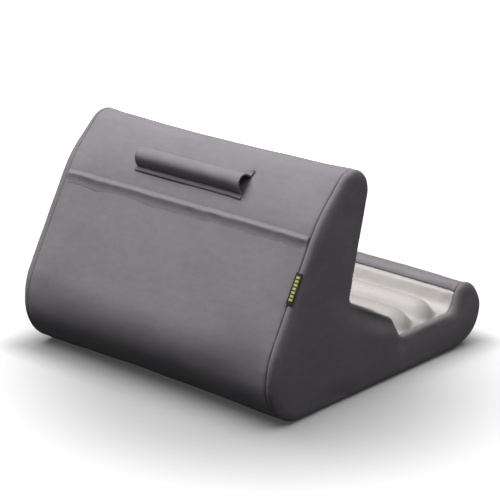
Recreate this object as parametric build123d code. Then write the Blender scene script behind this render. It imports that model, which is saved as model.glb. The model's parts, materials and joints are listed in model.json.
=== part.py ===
from build123d import *
import math
import os

# Soft pillow stand for a tablet: a foam wedge with a ridged tray and a front lip,
# inside a sewn zip-off cover with a stylus sleeve and a storage pocket on its back.
# Millimetres. X across, Y from front (-) to back (+), Z up. Origin on the table
# under the middle of the stand.

# ---- driving dimensions -------------------------------------------------
WIDTH = 268.0            # overall, side panel to side panel
DEPTH = 267.0            # overall, front of the lip to the rear of the back
SHOULDER = 6.0           # rounding of the side panels, seam to flat side
DOT_H = 0.8              # grip dots stand this far below the base panel
PLY_OUT = 1.5            # pocket fabric
PLY_GAP = 0.1
PLY_IN = 1.6             # back panel where it passes behind the pocket
SKIN = PLY_OUT + PLY_GAP + PLY_IN   # foam-backed cover fabric, 3.2
FOAM_GAP = 0.2           # cover to foam
SEAM = 0.15              # half the gap between two sewn panels
SEAM_X = WIDTH / 2 - SHOULDER       # side seams

HY = DEPTH / 2
Z0 = DOT_H
# side profile: (y, z, corner radius), from the rear heel, up the back, over the
# ridge, down the front of the wedge, across the tray, over the lip and under
PROFILE = [
    (HY, Z0, 37.0),          # rear heel
    (HY, 53.8, 60.0),        # lower back
    (79.3, 153.8, 120.0),    # upper back
    (7.3, 228.7, 18.7),      # ridge, rounded well below this corner
    (41.3, 80.2, 8.0),       # foot of the wedge
    (-14.6, 52.8, 8.0),      # front edge of the tray's slope
    (-27.5, 33.2, 6.0),      # back of the tray floor
    (-98.5, 34.6, 9.0),      # front of the tray floor
    (-107.0, 56.3, 9.0),     # lip, inner
    (-HY, 54.9, 20.0),       # lip, outer
    (-HY, Z0, 35.0),         # front heel
]
RIDGE_R = 14.0               # tray ridge, outside of the fabric
RIDGE_AXIS_Z = 32.8
RIDGE_Y = (-43.2, -74.4)     # two ridges, so three grooves
RIDGE_HALF = 110.0           # half length between the centres of its round ends

HEM_AT = (88.7, 142.3)       # pocket mouth on the back
HEM_W, HEM_H, HEM_HALF = 5.0, 1.9, 125.0
FOOT_AT, FOOT_DIR = (41.3, 80.2), (-0.902, 0.43)
LIP_AT, LIP_DIR = (-103.7, 49.8), (0.945, 0.327)
BASE_FRONT_Y = -97.0
BASE_REAR_Y = 97.0

SLEEVE_AT = (72.1, 164.0)    # middle of the stylus sleeve on the back
SLEEVE_X = (-52.5, 57.0)
SLEEVE_PLY = 1.3
SLEEVE_TOP, SLEEVE_HEM = 5.5, 3.2     # flat parts above and below the tunnel
SLEEVE_TUNNEL_W, SLEEVE_TUNNEL_H = 13.0, 9.6

ZIP_Y = 80.0
ZIP_SLIT = 9.0               # between the two base panels
ZIP_TAPE_Z = (4.1, 4.7)
ZIP_PITCH = 3.0
ZIP_TOOTH = 1.25
ZIP_FROM, ZIP_TO = -109.0, 105.0
SLIDER_X = 112.0

LABEL_MID_Z = 107.6
LABEL_LEN, LABEL_T = 24.8, 0.9
LABEL_ARC = (0.0, 56.0)      # degrees round the shoulder, from the seam

os.makedirs("parts", exist_ok=True)


# ---- profile helpers ----------------------------------------------------
def segments(d):
    """The side profile moved inwards by d, as lines and arcs of (y, z) points."""
    n = len(PROFILE)
    lines = []
    for i in range(n):
        (ay, az, _), (by, bz, _) = PROFILE[i], PROFILE[(i + 1) % n]
        ly = math.hypot(by - ay, bz - az)
        u = ((by - ay) / ly, (bz - az) / ly)
        inward = (-u[1], u[0])
        lines.append(((ay + inward[0] * d, az + inward[1] * d), u))
    corners = []
    for i in range(n):
        (p, u), (q, v) = lines[i - 1], lines[i]
        det = u[0] * v[1] - u[1] * v[0]
        s = ((q[0] - p[0]) * v[1] - (q[1] - p[1]) * v[0]) / det
        c = (p[0] + u[0] * s, p[1] + u[1] * s)
        r = PROFILE[i][2] - d if det > 0 else PROFILE[i][2] + d
        turn = math.atan2(det, u[0] * v[0] + u[1] * v[1])
        t = r * math.tan(abs(turn) / 2)
        a = (c[0] - u[0] * t, c[1] - u[1] * t)
        b = (c[0] + v[0] * t, c[1] + v[1] * t)
        w = (v[0] - u[0], v[1] - u[1])
        wl = math.hypot(*w)
        reach = r / math.cos(turn / 2) - r
        m = (c[0] + w[0] / wl * reach, c[1] + w[1] / wl * reach)
        corners.append((a, m, b))
    out = []
    for i in range(n):
        a, m, b = corners[i]
        out.append(("A", a, m, b))
        out.append(("L", b, corners[(i + 1) % n][0]))
    return out


def profile_face(d, x):
    edges = []
    for s in segments(d):
        pts = [(x, p[0], p[1]) for p in s[1:]]
        edges.append(ThreePointArc(*pts) if s[0] == "A" else Line(*pts))
    return Face(Wire(edges))


def on_profile(y, z):
    """Nearest point on the outside of the profile, with its tangent (down the back) and outward normal."""
    best = None
    for s in segments(0.0):
        if s[0] == "L":
            pts = [(s[1][0] + (s[2][0] - s[1][0]) * k / 200, s[1][1] + (s[2][1] - s[1][1]) * k / 200) for k in range(201)]
        else:
            e = ThreePointArc(*[(0, p[0], p[1]) for p in s[1:]])
            pts = [((e @ (k / 200)).Y, (e @ (k / 200)).Z) for k in range(201)]
        for k in range(200):
            d = math.hypot(pts[k][0] - y, pts[k][1] - z)
            if best is None or d < best[0]:
                h = math.hypot(pts[k + 1][0] - pts[k][0], pts[k + 1][1] - pts[k][1])
                u = ((pts[k + 1][0] - pts[k][0]) / h, (pts[k + 1][1] - pts[k][1]) / h)
                best = (d, pts[k], u)
    _, p, u = best
    return p, (-u[0], -u[1]), (u[1], -u[0])


def body(d):
    """The whole cushion moved inwards by d."""
    half = WIDTH / 2 - d
    block = extrude(profile_face(d, -half), amount=2 * half, dir=(1, 0, 0))
    r = SHOULDER - d
    ends = [e for e in block.edges() if abs(e.center().X) > half - 0.01]
    return fillet(ends, r) if r > 0.5 else block


def prism(points, x0=-150.0, x1=150.0):
    """A closed outline of (y, z) points, run along X."""
    pts = [(x0, p[0], p[1]) for p in points]
    return extrude(Face(Wire(Polyline(*pts, close=True).edges())), amount=x1 - x0, dir=(1, 0, 0))


def box(x0, x1, y0, y1, z0, z1):
    return Pos((x0 + x1) / 2, (y0 + y1) / 2, (z0 + z1) / 2) * Box(x1 - x0, y1 - y0, z1 - z0)


def slab(at, along, inner, outer, x0=-150.0, x1=150.0, t=SEAM):
    """A thin cut through the cover, square to its surface."""
    nx = (-along[1] * t, along[0] * t)
    a = (at[0] - along[0] * inner, at[1] - along[1] * inner)
    b = (at[0] + along[0] * outer, at[1] + along[1] * outer)
    return prism([(a[0] + nx[0], a[1] + nx[1]), (b[0] + nx[0], b[1] + nx[1]),
                  (b[0] - nx[0], b[1] - nx[1]), (a[0] - nx[0], a[1] - nx[1])], x0, x1)


def only_solids(shape):
    ss = list(shape.solids())
    return ss[0] if len(ss) == 1 else Compound(children=ss)


def save(name, shape):
    export_step(only_solids(shape), f"parts/{name}.step")


def ray(at, along, far):
    return (at[0] + along[0] * far, at[1] + along[1] * far)


# ---- cushion bodies -----------------------------------------------------
outer = body(0.0)
under_pocket = body(PLY_OUT)
behind_gap = body(PLY_OUT + PLY_GAP)
inner = body(SKIN)
foam_all = body(SKIN + FOAM_GAP)

middle = box(-SEAM_X + SEAM, SEAM_X - SEAM, -200, 200, -10, 260)
skin = outer - inner
wrap = skin & middle
pocket_ply = (outer - under_pocket) & middle
inner_ply = (behind_gap - inner) & middle

hem_pt, hem_t, hem_n = on_profile(*HEM_AT)

# outlines of the sewn panels, in the side view
upper_zone = prism([ray(FOOT_AT, FOOT_DIR, -22), ray(FOOT_AT, FOOT_DIR, 50), (-20, 300), (260, 300),
                    ray(hem_pt, hem_n, 120), ray(hem_pt, hem_n, -25)])
lower_zone = prism([ray(hem_pt, hem_n, -25), ray(hem_pt, hem_n, 120), (300, 100), (300, -50),
                    (BASE_REAR_Y, -50), (BASE_REAR_Y, 40)])
tray_zone = prism([ray(LIP_AT, LIP_DIR, -10), ray(LIP_AT, LIP_DIR, 30), (-60, 140), ray(FOOT_AT, FOOT_DIR, 50),
                   ray(FOOT_AT, FOOT_DIR, -22), (20, 25), (-60, 18), (-112, 18)])
lip_zone = prism([ray(LIP_AT, LIP_DIR, -10), ray(LIP_AT, LIP_DIR, 30), (-75, 140), (-250, 140),
                  (-250, -50), (BASE_FRONT_Y, -50), (BASE_FRONT_Y, 25)])
cuts = [
    slab(hem_pt, hem_n, 10, 10),
    slab(FOOT_AT, FOOT_DIR, 12, 12),
    slab(LIP_AT, LIP_DIR, 8, 8),
    box(-150, 150, BASE_FRONT_Y - SEAM, BASE_FRONT_Y + SEAM, -5, 10),
    box(-150, 150, BASE_REAR_Y - SEAM, BASE_REAR_Y + SEAM, -5, 10),
]


def cut_all(shape, which):
    for k in which:
        shape = shape - cuts[k]
    return shape


# ---- cover panels -------------------------------------------------------
# back panel: full thickness above the pocket mouth, one thinner ply behind the pocket
upper_full = cut_all(wrap & upper_zone, [1])
step_cut = prism([ray(hem_pt, hem_n, -PLY_OUT - PLY_GAP), ray(hem_pt, hem_n, 5),
                  (ray(hem_pt, hem_n, 5)[0] - hem_t[0] * SEAM, ray(hem_pt, hem_n, 5)[1] - hem_t[1] * SEAM),
                  (ray(hem_pt, hem_n, -PLY_OUT - PLY_GAP)[0] - hem_t[0] * SEAM,
                   ray(hem_pt, hem_n, -PLY_OUT - PLY_GAP)[1] - hem_t[1] * SEAM)])
upper_part = upper_full - step_cut
lower_part = (inner_ply & lower_zone) - cuts[4]
back_panel = upper_part + lower_part
save("back_panel", back_panel)

pocket_panel = cut_all(pocket_ply & lower_zone, [0, 4])
save("pocket_panel", pocket_panel)


def local_prism(pt, t, n, edges_tn, x0, x1):
    """A closed outline in the back surface's own frame (t down the back, n outwards), run along X."""
    es = []
    for kind, *pts in edges_tn:
        q = [(x0, pt[0] + t[0] * a + n[0] * b, pt[1] + t[1] * a + n[1] * b) for a, b in pts]
        es.append(ThreePointArc(*q) if kind == "A" else Line(*q))
    return extrude(Face(Wire(es)), amount=x1 - x0, dir=(1, 0, 0))


# rolled hem of the pocket mouth
h0, h1, hr = 0.15, 0.15 + HEM_H, 0.9
k = hr * (1 - math.sqrt(0.5))
hem = local_prism(hem_pt, hem_t, hem_n, [
    ("L", (0.3, h0), (0.3, h1 - hr)),
    ("A", (0.3, h1 - hr), (0.3 + k, h1 - k), (0.3 + hr, h1)),
    ("L", (0.3 + hr, h1), (0.3 + HEM_W - hr, h1)),
    ("A", (0.3 + HEM_W - hr, h1), (0.3 + HEM_W - k, h1 - k), (0.3 + HEM_W, h1 - hr)),
    ("L", (0.3 + HEM_W, h1 - hr), (0.3 + HEM_W, h0)),
    ("L", (0.3 + HEM_W, h0), (0.3, h0)),
], -HEM_HALF, HEM_HALF)
keep_off = extrude(profile_face(-0.08, -149), amount=298, dir=(1, 0, 0))
save("pocket_hem", hem - keep_off)

# stylus sleeve: a tunnel with a flat hem above and below, stitched to the back
sp, st, sn = on_profile(*SLEEVE_AT)
wi, hi = SLEEVE_TUNNEL_W / 2, SLEEVE_TUNNEL_H
wo, ho = wi + SLEEVE_PLY, hi + SLEEVE_PLY
arch = local_prism(sp, st, sn, [
    ("A", (-wo, 0.0), (0.0, ho), (wo, 0.0)),
    ("L", (wo, 0.0), (-wo, 0.0)),
], *SLEEVE_X)
tunnel = local_prism(sp, st, sn, [
    ("A", (-wi, -0.6), (0.0, hi), (wi, -0.6)),
    ("L", (wi, -0.6), (-wi, -0.6)),
], SLEEVE_X[0] - 1, SLEEVE_X[1] + 1)
flange = local_prism(sp, st, sn, [
    ("L", (-wo - SLEEVE_TOP, -0.9), (-wo - SLEEVE_TOP, SLEEVE_PLY)),
    ("L", (-wo - SLEEVE_TOP, SLEEVE_PLY), (wo + SLEEVE_HEM, SLEEVE_PLY)),
    ("L", (wo + SLEEVE_HEM, SLEEVE_PLY), (wo + SLEEVE_HEM, -0.9)),
    ("L", (wo + SLEEVE_HEM, -0.9), (-wo - SLEEVE_TOP, -0.9)),
], *SLEEVE_X)
sleeve = (arch + flange) - tunnel - keep_off
save("stylus_sleeve", sleeve)

# tray panel with its two raised ridges

def ridge(r, y, half):
    rod = Pos(0, y, RIDGE_AXIS_Z) * Rot(0, 90, 0) * Cylinder(r, 2 * half)
    for sx in (-1, 1):
        rod = rod + Pos(sx * half, y, RIDGE_AXIS_Z) * Sphere(r)
    return rod


tray = cut_all(wrap & tray_zone, [1, 2])
for y in RIDGE_Y:
    tray = tray + (ridge(RIDGE_R, y, RIDGE_HALF) & box(-140, 140, y - 20, y + 20, RIDGE_AXIS_Z - 1.5, 80))
for y in RIDGE_Y:
    tray = tray - (ridge(RIDGE_R - SKIN, y, RIDGE_HALF) & box(-140, 140, y - 20, y + 20, 25, 80))
save("tray_panel", tray)

save("lip_panel", cut_all(wrap & lip_zone, [2, 3]))

slit0, slit1 = ZIP_Y - ZIP_SLIT / 2, ZIP_Y + ZIP_SLIT / 2
base_panel = cut_all(wrap & box(-140, 140, BASE_FRONT_Y, slit0, -5, 12), [3])
save("base_panel", base_panel)
base_rear = cut_all(wrap & box(-140, 140, slit1, BASE_REAR_Y, -5, 12), [4])
save("base_rear_panel", base_rear)

save("left_side_panel", skin & box(SEAM_X + SEAM, 150, -200, 200, -10, 260))
save("right_side_panel", skin & box(-150, -SEAM_X - SEAM, -200, 200, -10, 260))

# ---- foam ---------------------------------------------------------------
BOND_Z = 51.0
LIP_SPLIT_Y = -100.5
BOND = 0.1
zip_groove = box(-140, 140, 66.0, 94.0, -5, 8.0)
base_foam = (foam_all & box(-140, 140, LIP_SPLIT_Y + BOND, 140, -5, BOND_Z - BOND)) - zip_groove
save("base_foam", base_foam)
save("wedge_foam", foam_all & box(-140, 140, -60, 140, BOND_Z + BOND, 260))
save("lip_foam", foam_all & box(-140, 140, -140, LIP_SPLIT_Y - BOND, -5, 80))
strips = []
for y in RIDGE_Y:
    s = ridge(RIDGE_R - SKIN - FOAM_GAP, y, RIDGE_HALF)
    s = (s & box(-140, 140, y - 20, y + 20, 20, 80)) - foam_all
    strips += [x for x in s.solids() if x.center().Z > 30]
# a bond line above the floor foam
strips = [x & box(-140, 140, -130, 0, 31.2, 80) for x in strips]
save("tray_ridge_foam", Compound(children=[x for s in strips for x in s.solids()]))

# ---- zip under the rear of the base -------------------------------------
tz0, tz1 = ZIP_TAPE_Z
tape_half = SEAM_X - 0.4
save("zip_tape_front", box(-tape_half, tape_half, 68.0, 78.9, tz0, tz1))
save("zip_tape_rear", box(-tape_half, tape_half, 81.1, 92.0, tz0, tz1))


def tooth(x, side):
    y_root = ZIP_Y + side * 1.05
    y_tip = ZIP_Y - side * 0.9
    lo, hi_ = min(y_root, y_tip), max(y_root, y_tip)
    t = box(x - ZIP_TOOTH / 2, x + ZIP_TOOTH / 2, lo, hi_, 3.1, 5.7)
    return t


front_teeth, rear_teeth = [], []
x = ZIP_FROM
while x <= ZIP_TO + 1e-6:
    front_teeth.append(tooth(x, -1))
    if x + ZIP_PITCH / 2 <= ZIP_TO:
        rear_teeth.append(tooth(x + ZIP_PITCH / 2, 1))
    x += ZIP_PITCH
save("zip_teeth_front", Compound(children=[s for t in front_teeth for s in t.solids()]))
save("zip_teeth_rear", Compound(children=[s for t in rear_teeth for s in t.solids()]))
stops = []
for cx in (ZIP_FROM - 3.5, SLIDER_X + 8.0):
    blk = box(cx - 1.2, cx + 1.2, 78.95, 81.05, 3.1, 5.7)
    stops += list(fillet(blk.edges().filter_by(Axis.Z), 0.4).solids())
save("zip_end_stops", Compound(children=stops))

# slider: two plates, a post between them, side lips, and a bridge for the pull
sx = SLIDER_X


def plate(z0, z1):
    p = box(sx - 5.5, sx + 5.5, 76.0, 84.0, z0, z1)
    return fillet(p.edges().filter_by(Axis.Z), 2.2)


slider = plate(2.3, 3.0) + plate(5.8, 6.6)
slider = slider + Pos(sx + 3.2, ZIP_Y, 4.4) * Cylinder(0.85, 3.0)
for y0, y1 in ((76.0, 76.8), (83.2, 84.0)):
    slider = slider + box(sx - 3.2, sx + 3.2, y0, y1, 2.6, 3.9) + box(sx - 3.2, sx + 3.2, y0, y1, 4.9, 6.2)
bar_z = 1.2
for y0, y1 in ((77.5, 78.4), (81.6, 82.5)):
    slider = slider + box(sx - 0.9, sx + 0.9, y0, y1, 0.7, 2.5)
slider = slider + Pos(sx, ZIP_Y, bar_z) * Rot(90, 0, 0) * Cylinder(0.40, 4.6)
save("zip_slider", slider)

tab = Pos(sx, ZIP_Y, bar_z) * Rot(90, 0, 0) * Cylinder(0.95, 2.8)
tab = tab + box(sx - 4.0, sx, 78.6, 81.4, 0.8, 1.6)
grip = box(sx - 20.0, sx - 3.5, 77.0, 83.0, 0.8, 1.6)
grip = fillet(grip.edges().filter_by(Axis.Z), 1.8)
tab = tab + grip
tab = tab - Pos(sx, ZIP_Y, bar_z) * Rot(90, 0, 0) * Cylinder(0.46, 4.0)
tab = tab - Pos(sx - 16.5, ZIP_Y, 1.2) * Cylinder(1.2, 3.0)
save("zip_pull_tab", tab)

# ---- woven label in the right-hand side seam ----------------------------
(p1, p2) = (PROFILE[1], PROFILE[2])
dl = math.hypot(p1[0] - p2[0], p1[1] - p2[1])
lu = ((p1[0] - p2[0]) / dl, (p1[1] - p2[1]) / dl)      # down the seam
ln = (-lu[1], lu[0])                                   # outwards
f = (LABEL_MID_Z - p2[1]) / (p1[1] - p2[1])
lm = (p2[0] + (p1[0] - p2[0]) * f, LABEL_MID_Z)
centre = (lm[0] - ln[0] * SHOULDER, lm[1] - ln[1] * SHOULDER)


def shoulder_pt(r, deg, along):
    a = math.radians(deg)
    c, s = math.cos(a) * r, math.sin(a) * r
    return (-SEAM_X - s, centre[0] + ln[0] * c + lu[0] * along, centre[1] + ln[1] * c + lu[1] * along)


ra, rb = SHOULDER + 0.25, SHOULDER + 0.25 + LABEL_T
a0, a1 = LABEL_ARC
am = (a0 + a1) / 2
h = -LABEL_LEN / 2
label_face = Face(Wire([
    ThreePointArc(shoulder_pt(ra, a0, h), shoulder_pt(ra, am, h), shoulder_pt(ra, a1, h)),
    Line(shoulder_pt(ra, a1, h), shoulder_pt(rb, a1, h)),
    ThreePointArc(shoulder_pt(rb, a1, h), shoulder_pt(rb, am, h), shoulder_pt(rb, a0, h)),
    Line(shoulder_pt(rb, a0, h), shoulder_pt(ra, a0, h)),
]))
save("woven_label", extrude(label_face, amount=LABEL_LEN, dir=(0, lu[0], lu[1])))

# ---- grip dots ----------------------------------------------------------
dots = []
for i in range(11):
    for j in range(7):
        dots.append(Pos(-110 + 22 * i, -78 + 22 * j, DOT_H / 2 - 0.01) * Cylinder(3.0, DOT_H - 0.02))
save("grip_dots", Compound(children=[s for d in dots for s in d.solids()]))

print("hem", hem_pt, hem_t, hem_n)
print("sleeve", sp, st, sn)
print("label axis at", shoulder_pt((ra + rb) / 2, a0, 0), "dir", (0, lu[0], lu[1]))
bb = outer.bounding_box()
print("cushion", bb.min, bb.max)
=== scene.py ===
import json
import math

import bpy
import numpy as np
from mathutils import Matrix, Vector
from mathutils import noise as mnoise
from mathutils.geometry import delaunay_2d_cdt

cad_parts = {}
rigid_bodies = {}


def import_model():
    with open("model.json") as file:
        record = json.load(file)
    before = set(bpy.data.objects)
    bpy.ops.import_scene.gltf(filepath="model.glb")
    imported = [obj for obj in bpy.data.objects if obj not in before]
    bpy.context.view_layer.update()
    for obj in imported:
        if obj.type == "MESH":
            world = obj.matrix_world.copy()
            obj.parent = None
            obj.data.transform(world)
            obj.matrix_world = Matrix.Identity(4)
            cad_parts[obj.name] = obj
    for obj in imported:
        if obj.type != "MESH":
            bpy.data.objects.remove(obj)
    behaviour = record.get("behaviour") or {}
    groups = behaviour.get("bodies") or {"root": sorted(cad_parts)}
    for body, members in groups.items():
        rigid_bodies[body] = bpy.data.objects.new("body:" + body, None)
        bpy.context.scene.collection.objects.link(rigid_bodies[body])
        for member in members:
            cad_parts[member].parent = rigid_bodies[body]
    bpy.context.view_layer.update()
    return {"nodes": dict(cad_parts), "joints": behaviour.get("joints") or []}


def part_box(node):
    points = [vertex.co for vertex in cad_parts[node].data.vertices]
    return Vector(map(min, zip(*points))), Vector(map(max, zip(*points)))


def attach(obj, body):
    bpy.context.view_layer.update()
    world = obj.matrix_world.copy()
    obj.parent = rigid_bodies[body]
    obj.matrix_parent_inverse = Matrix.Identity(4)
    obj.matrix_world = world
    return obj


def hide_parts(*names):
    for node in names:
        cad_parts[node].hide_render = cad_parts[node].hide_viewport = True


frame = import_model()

NODES = frame["nodes"]
MM = 0.001

# ------------------------------------------------------------------ the stand's own sizes, mm
side_lo, side_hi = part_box("left_side_panel")
WIDTH = side_hi.x * 2 / MM
HY = side_hi.y / MM + 0.002
SHOULDER = 6.0
SEAM_X = WIDTH / 2 - SHOULDER
Z0 = side_lo.z / MM
PROFILE = [
    (HY, Z0, 37.0), (HY, 53.8, 60.0), (79.3, 153.8, 120.0), (7.3, 228.7, 18.7),
    (41.3, 80.2, 8.0), (-14.6, 52.8, 8.0), (-27.5, 33.2, 6.0), (-98.5, 34.6, 9.0),
    (-107.0, 56.3, 9.0), (-HY, 54.9, 20.0), (-HY, Z0, 35.0),
]
HEM_AT = (86.258, 140.939)
FOOT_AT = (41.3, 80.2)
LIP_AT = (-103.7, 49.8)
BASE_FRONT_Y, BASE_REAR_Y = -97.0, 97.0
ZIP_Y, ZIP_SLIT = 80.0, 9.0
RIDGE_Y = (-43.2, -74.4)
RIDGE_H, RIDGE_W, RIDGE_HALF = 12.6, 14.8, 111.0
SLEEVE_AT = (70.686, 162.670)
THICK = 2.2
GAP = 0.16


# ------------------------------------------------------------------ side profile
def segments(d):
    n = len(PROFILE)
    lines = []
    for i in range(n):
        (ay, az, _), (by, bz, _) = PROFILE[i], PROFILE[(i + 1) % n]
        ly = math.hypot(by - ay, bz - az)
        u = ((by - ay) / ly, (bz - az) / ly)
        inward = (-u[1], u[0])
        lines.append(((ay + inward[0] * d, az + inward[1] * d), u))
    corners = []
    for i in range(n):
        (p, u), (q, v) = lines[i - 1], lines[i]
        det = u[0] * v[1] - u[1] * v[0]
        s = ((q[0] - p[0]) * v[1] - (q[1] - p[1]) * v[0]) / det
        c = (p[0] + u[0] * s, p[1] + u[1] * s)
        r = PROFILE[i][2] - d if det > 0 else PROFILE[i][2] + d
        turn = math.atan2(det, u[0] * v[0] + u[1] * v[1])
        t = r * math.tan(abs(turn) / 2)
        a = (c[0] - u[0] * t, c[1] - u[1] * t)
        sign = 1 if det > 0 else -1
        centre = (a[0] - u[1] * r * sign, a[1] + u[0] * r * sign)
        start = math.atan2(a[1] - centre[1], a[0] - centre[0])
        b = (c[0] + v[0] * t, c[1] + v[1] * t)
        corners.append((a, b, centre, r, start, turn, sign))
    return corners, [l[1] for l in lines]


class Profile:
    """The side outline as points, outward normals and arc length; s = 0 at the rear edge of the zip slit."""

    def __init__(self):
        corners, dirs = segments(0.0)
        P, N = [], []
        n = len(corners)
        for i in range(n):
            a, b, c, r, start, turn, sign = corners[i]
            k = max(6, int(abs(turn) * r / 0.5))
            for j in range(k):
                t = start + turn * j / k
                P.append((c[0] + r * math.cos(t), c[1] + r * math.sin(t)))
                N.append((sign * math.cos(t), sign * math.sin(t)))
            e = corners[(i + 1) % n][0]
            u = dirs[i]
            k = max(4, int(math.hypot(e[0] - b[0], e[1] - b[1]) / 0.5))
            for j in range(k):
                P.append((b[0] + (e[0] - b[0]) * j / k, b[1] + (e[1] - b[1]) * j / k))
                N.append((u[1], -u[0]))
        P, N = np.array(P), np.array(N)
        d = np.hypot(*(np.roll(P, -1, 0) - P).T)
        s = np.concatenate([[0], np.cumsum(d)])
        self.total = s[-1]
        self.s, self.P, self.N = s, np.vstack([P, P[:1]]), np.vstack([N, N[:1]])
        self.shift = 0.0
        self.shift = self.find(ZIP_Y + ZIP_SLIT / 2, Z0)

    def at(self, s):
        q = (np.asarray(s, float) + self.shift) % self.total
        p = np.stack([np.interp(q, self.s, self.P[:, k]) for k in (0, 1)], -1)
        n = np.stack([np.interp(q, self.s, self.N[:, k]) for k in (0, 1)], -1)
        return p, n / np.linalg.norm(n, axis=-1, keepdims=True)

    def find(self, y, z):
        i = int(np.argmin(np.hypot(self.P[:, 0] - y, self.P[:, 1] - z)))
        return (self.s[i] - self.shift) % self.total


PRO = Profile()
S_REAR = PRO.find(BASE_REAR_Y, Z0 + 0.01)
S_HEM = PRO.find(*HEM_AT)
S_RIDGE = PRO.find(7.0, 185.0)
S_FOOT = PRO.find(*FOOT_AT)
S_LIP = PRO.find(*LIP_AT)
S_FRONT = PRO.find(BASE_FRONT_Y, Z0)
S_SLIT = PRO.find(ZIP_Y - ZIP_SLIT / 2, Z0)


# ------------------------------------------------------------------ mesh helpers
def new_mesh(name, verts, faces, uvs=None, smooth=True):
    """verts in mm. uvs: one (u, v) per vertex, in mm."""
    me = bpy.data.meshes.new(name)
    me.from_pydata([tuple(v) for v in (np.asarray(verts) * MM)], [], [tuple(int(i) for i in f) for f in faces])
    if uvs is not None:
        layer = me.uv_layers.new(name="cloth")
        loops = np.zeros(len(me.loops), np.int32)
        me.loops.foreach_get("vertex_index", loops)
        layer.data.foreach_set("uv", np.asarray(uvs, float)[loops].astype(np.float32).ravel())
    if smooth:
        me.polygons.foreach_set("use_smooth", np.ones(len(me.polygons), bool))
    me.update()
    o = bpy.data.objects.new(name, me)
    bpy.context.scene.collection.objects.link(o)
    return o


def subdivide(o, levels=1):
    m = o.modifiers.new("smooth", "SUBSURF")
    m.levels = m.render_levels = levels
    m.subdivision_type = "CATMULL_CLARK"
    return o


def close_grid(name, outer, inner, uv, levels=1):
    """A closed sheet from two (n, m, 3) grids of points: outer, inner, and walls round the edge."""
    n, m = outer.shape[:2]
    mid = 0.5 * (outer + inner)
    V = [outer.reshape(-1, 3), inner.reshape(-1, 3)]
    idx = np.arange(n * m).reshape(n, m)
    F = []
    a, b, c, d = idx[:-1, :-1], idx[1:, :-1], idx[1:, 1:], idx[:-1, 1:]
    F += np.stack([a, b, c, d], -1).reshape(-1, 4).tolist()
    F += (np.stack([a, d, c, b], -1).reshape(-1, 4) + n * m).tolist()
    ring = list(idx[:, 0]) + list(idx[-1, 1:]) + list(idx[-2::-1, -1]) + list(idx[0, -2:0:-1])
    k = len(ring)
    V.append(mid.reshape(-1, 3)[ring])
    base = 2 * n * m
    for i in range(k):
        j = (i + 1) % k
        F.append([ring[j], ring[i], base + i, base + j])
        F.append([base + j, base + i, ring[i] + n * m, ring[j] + n * m])
    uvs = np.concatenate([uv.reshape(-1, 2), uv.reshape(-1, 2), uv.reshape(-1, 2)[ring]])
    o = new_mesh(name, np.concatenate(V), F, uvs)
    if levels:
        subdivide(o, levels)
    return o


def orient(o):
    """Faces point outwards."""
    import bmesh
    bm = bmesh.new()
    bm.from_mesh(o.data)
    bmesh.ops.recalc_face_normals(bm, faces=bm.faces)
    bm.to_mesh(o.data)
    bm.free()
    return o


RAMP = np.array([0, 0.3, 0.7, 1.2, 1.9, 2.8, 4.0, 5.6, 7.6])


def graded(a, b, step, lo=True, hi=True):
    """Positions from a to b, closer together at a sewn edge."""
    left = a + RAMP if lo else np.array([a])
    right = (b - RAMP)[::-1] if hi else np.array([b])
    k = max(1, int(round((right[0] - left[-1]) / step)))
    return np.concatenate([left, np.linspace(left[-1], right[0], k + 1)[1:-1], right])


def dip(e, depth=1.3, w=3.2):
    """How far a padded edge rolls in, e mm from its seam."""
    q = np.clip(1 - np.asarray(e, float) / w, 0, 1)
    return depth * (1 - np.sqrt(np.maximum(1 - q * q, 0)))


def field(points, scale, seed=0.0, octaves=2):
    """Smooth noise in -1..1 at points (mm), features about scale mm across."""
    out = np.empty(len(points))
    for i, p in enumerate(points):
        out[i] = mnoise.fractal(Vector((p[0] / scale + seed, p[1] / scale - seed * 0.7, p[2] / scale + seed * 1.3)), 0.6, 2.0, octaves)
    return out


def smoothstep(t):
    t = np.clip(t, 0, 1)
    return t * t * (3 - 2 * t)


def fuller(y, z):
    """The stuffed front of the lip stands a little proud of the outline, most at half its height."""
    w = smoothstep((-102 - y) / 20.0) * smoothstep((z - 0.8) / 4.5) * smoothstep((48 - z) / 18.0)
    u = np.stack([y + 96.0, np.maximum(z - 26.0, 0.0)], -1)
    return u / np.maximum(np.linalg.norm(u, axis=-1, keepdims=True), 1.0) * (4.0 * w)[..., None]


# ------------------------------------------------------------------ cloth
SIMS = []


def add_cloth(o, pinned, pressure, shrink, stiffness, bending):
    g = o.vertex_groups.new(name="pin")
    g.add([int(i) for i in pinned], 1.0, "REPLACE")
    m = o.modifiers.new("cloth", "CLOTH")
    c = m.settings
    c.quality = 6
    c.mass = 0.02
    c.tension_stiffness = c.compression_stiffness = stiffness
    c.shear_stiffness = stiffness * 0.5
    c.bending_stiffness = bending
    c.tension_damping = c.compression_damping = c.shear_damping = 5
    c.bending_damping = 0.5
    c.air_damping = 2.0
    c.vertex_group_mass = "pin"
    c.use_pressure = True
    c.uniform_pressure_force = pressure
    c.shrink_min = c.shrink_max = shrink
    c.effector_weights.gravity = 0.0
    m.collision_settings.use_collision = False
    m.collision_settings.use_self_collision = False
    m.point_cache.frame_start, m.point_cache.frame_end = 1, 20
    SIMS.append(o)


def run_cloth():
    sc = bpy.context.scene
    sc.frame_start, sc.frame_end = 1, 20
    for f in range(1, 21):
        sc.frame_set(f)
        bpy.context.view_layer.update()
    dg = bpy.context.evaluated_depsgraph_get()
    out = {}
    for o in SIMS:
        e = o.evaluated_get(dg)
        co = np.zeros(len(e.data.vertices) * 3, np.float32)
        e.data.vertices.foreach_get("co", co)
        out[o.name] = co.reshape(-1, 3).astype(float) / MM
    sc.frame_set(1)
    for o in SIMS:
        me = o.data
        bpy.data.objects.remove(o)
        bpy.data.meshes.remove(me)
    SIMS.clear()
    return out


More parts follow.
